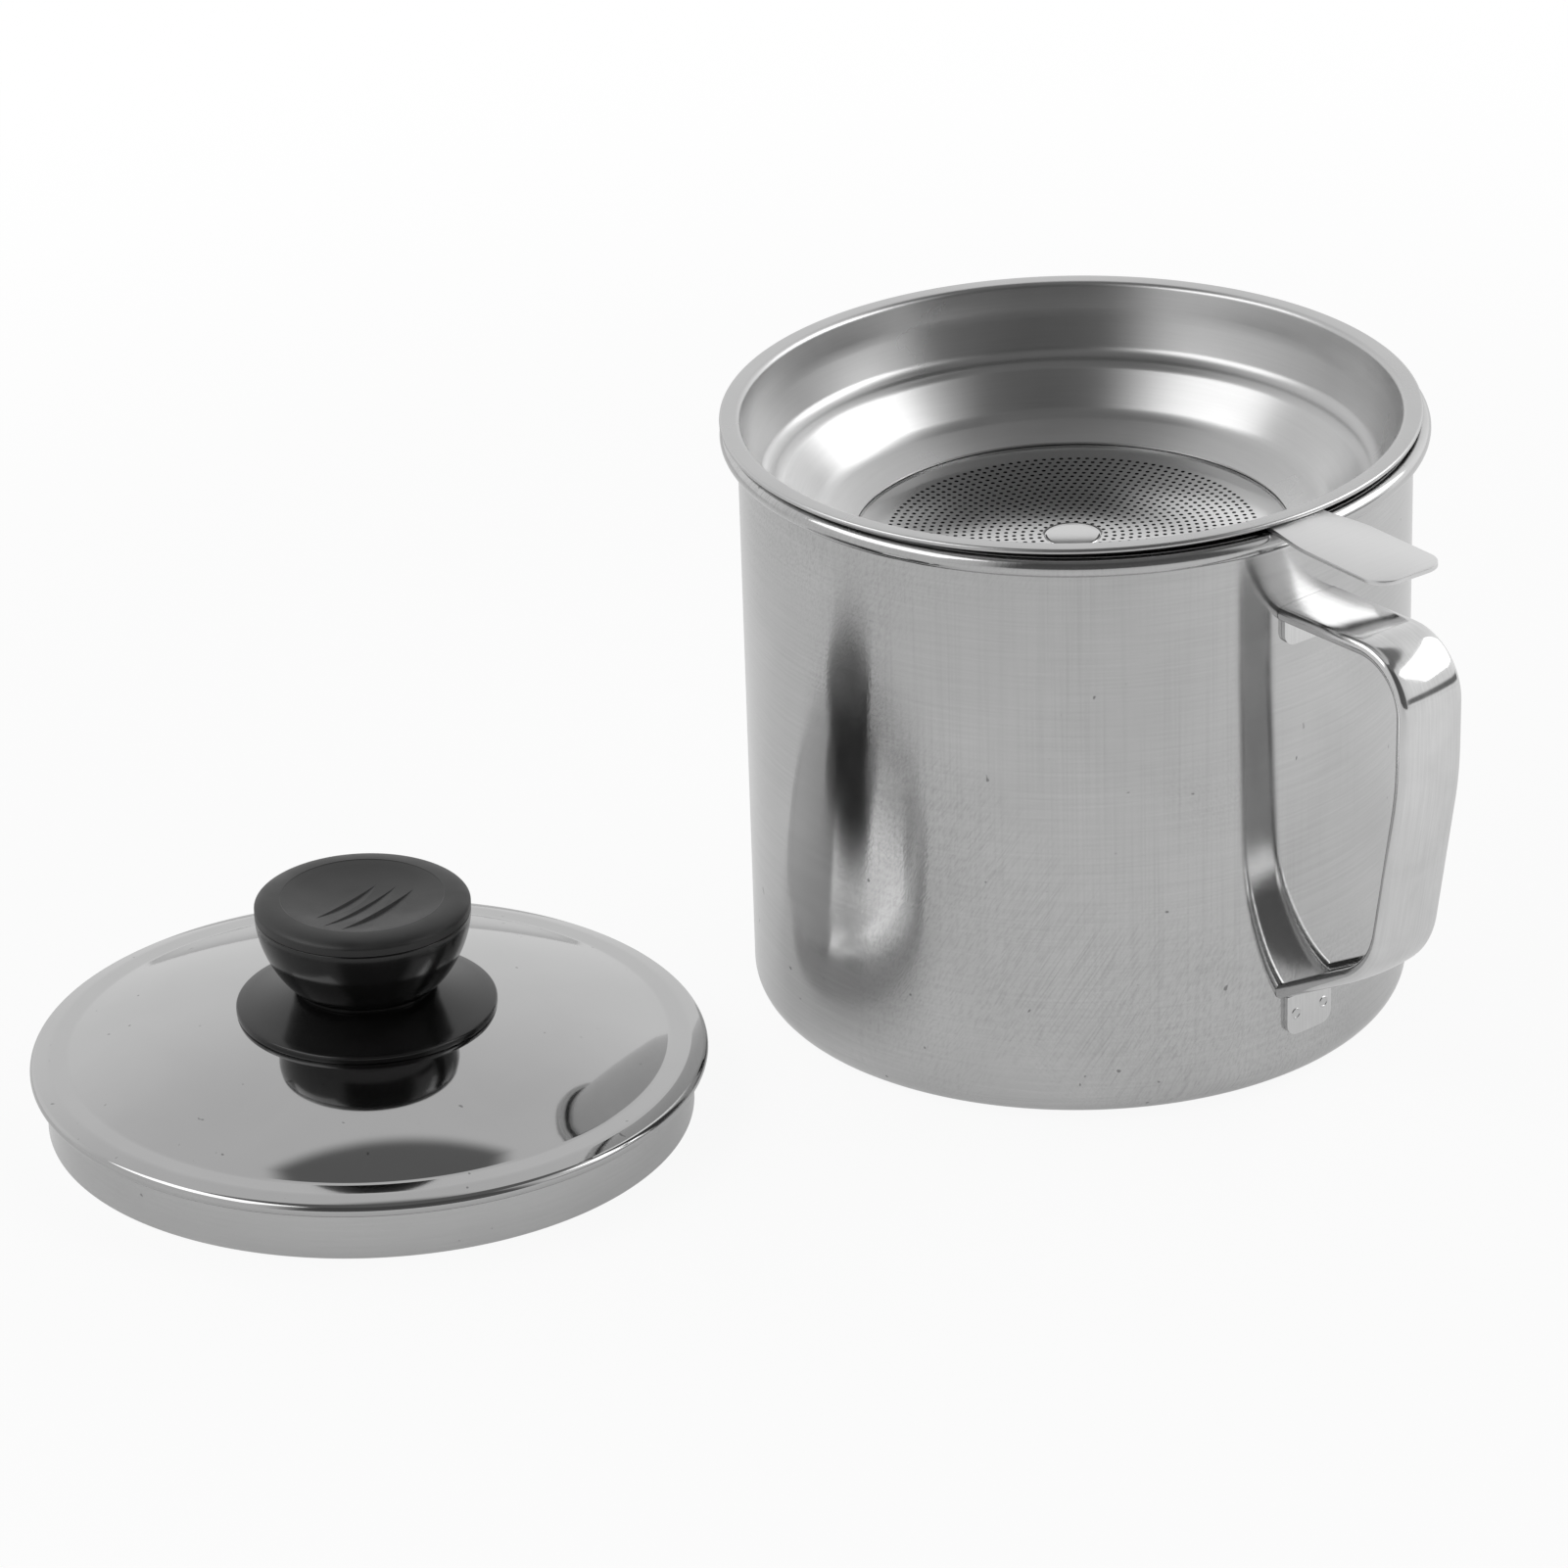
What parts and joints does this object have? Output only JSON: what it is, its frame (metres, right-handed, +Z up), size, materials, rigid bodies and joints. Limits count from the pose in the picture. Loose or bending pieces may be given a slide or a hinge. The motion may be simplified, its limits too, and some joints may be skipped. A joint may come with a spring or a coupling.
{
  "type": "bacon grease container",
  "caption": "Steel grease keeper: straight cup with strap handle, lift-out perforated strainer with thumb tab, and a domed lid with a black knob lying beside it.",
  "frame": {"origin": "centre of the cup's flat base, on the surface that it stands on", "axes": "+Z up along the cup's axis, +X from the cup to its handle"},
  "size_m": [0.2337, 0.2924, 0.1307],
  "materials": {
    "satin_steel": "satin, finely brushed",
    "bright_steel": "polished, fine hairlines",
    "mirror_steel": "mirror polished",
    "gloss_black": "glossy black",
    "matte_black": "matt black",
    "brass": "machined"
  },
  "bodies": {
    "cup": {"cup_body": "satin_steel", "handle": "bright_steel", "handle_spot_welds": "satin_steel"},
    "strainer": {"strainer_bowl": "satin_steel", "filter_disc": "mirror_steel", "thumb_tab": "satin_steel", "tab_spot_welds": "satin_steel"},
    "lid": {"lid_shell": "mirror_steel", "knob_flange": "gloss_black", "knob_grip": "gloss_black", "knob_cap": "matte_black", "knob_insert": "brass", "lid_washer": "satin_steel", "lid_screw": "satin_steel"}
  },
  "joints": [
    {"name": "strainer_lift", "type": "slide", "parent": "cup", "child": "strainer", "axis": [0, 0, 1], "range_m": [0, 0.06]},
    {"name": "lid_lift", "type": "slide", "parent": "cup", "child": "lid", "axis": [0, 0, 1], "range_m": [0, 0.16]}
  ]
}
